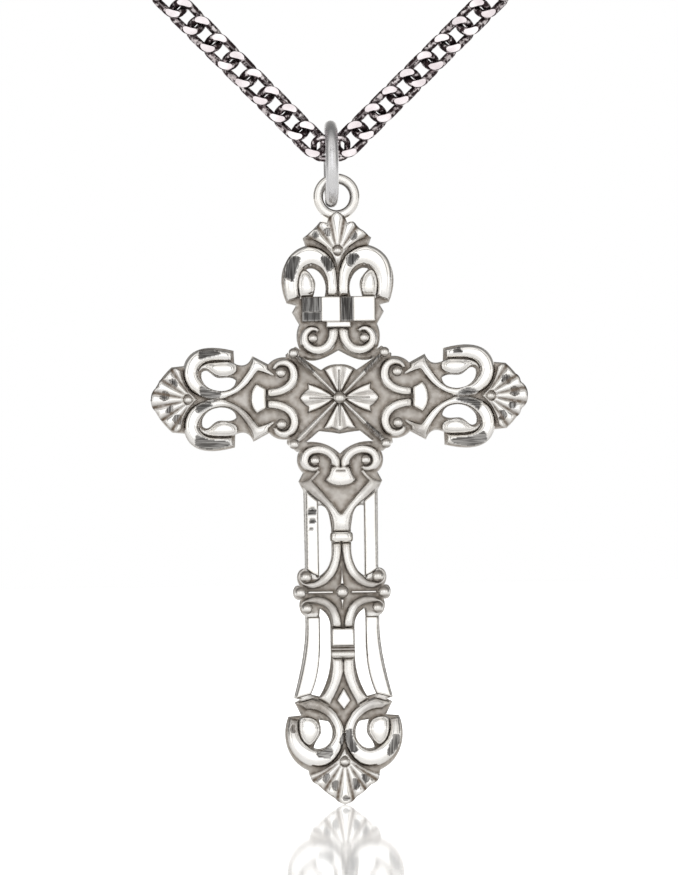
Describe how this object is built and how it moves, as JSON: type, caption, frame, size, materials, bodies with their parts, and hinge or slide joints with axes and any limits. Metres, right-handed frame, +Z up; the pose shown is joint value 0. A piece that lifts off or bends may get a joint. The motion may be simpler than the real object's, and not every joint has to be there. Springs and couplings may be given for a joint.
{
  "type": "filigree cross pendant",
  "caption": "Openwork silver cross with scrolls, shells and a rosette, hung by an eye and a jump ring from the low point of a curb chain.",
  "frame": {"origin": "on the flat back of the cross, behind the middle of the rosette where the arms cross the shaft", "axes": "+Z up the shaft towards the hanging eye, +X towards the arm on the viewer's right, -Y out of the decorated front, +Y out of the flat back"},
  "size_m": [0.0452, 0.0075, 0.0801],
  "materials": {
    "relief_silver": "polished silver with soft worn edges",
    "bright_cut_silver": "bright cut, mirror polished facets",
    "oxidised_silver": "matt, warm grey oxidised ground with bright worn edges",
    "satin_silver": "satin",
    "chain_silver": "ground bright faces with dark sides"
  },
  "bodies": {
    "chain": {"chain_left": "chain_silver", "chain_right": "chain_silver", "chain_apex_link": "chain_silver", "end_ring_left": "chain_silver", "end_ring_right": "chain_silver", "clasp_body": "chain_silver", "clasp_pin": "chain_silver"},
    "ring": {"jump_ring": "satin_silver"},
    "cross": {"back_plate": "oxidised_silver", "centre_boss": "relief_silver", "corner_beads": "relief_silver", "crown_band": "bright_cut_silver", "crown_leaves": "bright_cut_silver", "crown_scrolls": "bright_cut_silver", "crown_shell": "relief_silver", "crown_volutes": "relief_silver", "foot_diamond": "bright_cut_silver", "foot_horns": "relief_silver", "foot_leaves": "bright_cut_silver", "foot_scrolls": "bright_cut_silver", "foot_shell": "relief_silver", "hanging_loop": "relief_silver", "knot_beads": "relief_silver", "knot_lower_scrolls": "relief_silver", "knot_ridges": "relief_silver", "knot_upper_scrolls": "relief_silver", "left_arm_cap": "bright_cut_silver", "left_arm_forks": "relief_silver", "left_arm_leaves": "bright_cut_silver", "left_arm_scrolls": "bright_cut_silver", "left_arm_shell": "relief_silver", "left_arm_volutes": "relief_silver", "lower_block": "bright_cut_silver", "lower_collar": "relief_silver", "lower_rails": "bright_cut_silver", "right_arm_cap": "bright_cut_silver", "right_arm_forks": "relief_silver", "right_arm_leaves": "bright_cut_silver", "right_arm_scrolls": "bright_cut_silver", "right_arm_shell": "relief_silver", "right_arm_volutes": "relief_silver", "rosette_petals": "relief_silver", "rosette_rays": "relief_silver", "rosette_ridges": "relief_silver", "shaft_fork": "relief_silver", "shaft_tongue": "bright_cut_silver", "shaft_volutes": "relief_silver", "shell_beads": "relief_silver", "stem_legs": "relief_silver", "upper_collar": "relief_silver", "upper_rails": "bright_cut_silver", "volute_eyes": "relief_silver"},
    "lever": {"clasp_lever": "chain_silver"}
  },
  "joints": [
    {"name": "ring_swing", "type": "hinge", "parent": "chain", "child": "ring", "pos_m": [-0.00042, -0.00115, 0.0223], "axis": [1, 0, 0], "range_deg": [-14, 25]},
    {"name": "cross_sway", "type": "hinge", "parent": "ring", "child": "cross", "pos_m": [-0.00042, -0.00075, 0.01687], "axis": [0, 1, 0], "range_deg": [-25, 25]},
    {"name": "clasp_lever_swing", "type": "hinge", "parent": "chain", "child": "lever", "pos_m": [0.02104, -0.0003, 0.0429], "axis": [0, 1, 0], "range_deg": [0, 24], "stiffness_Nm_per_rad": 0.004, "springref_deg": -11.46}
  ]
}
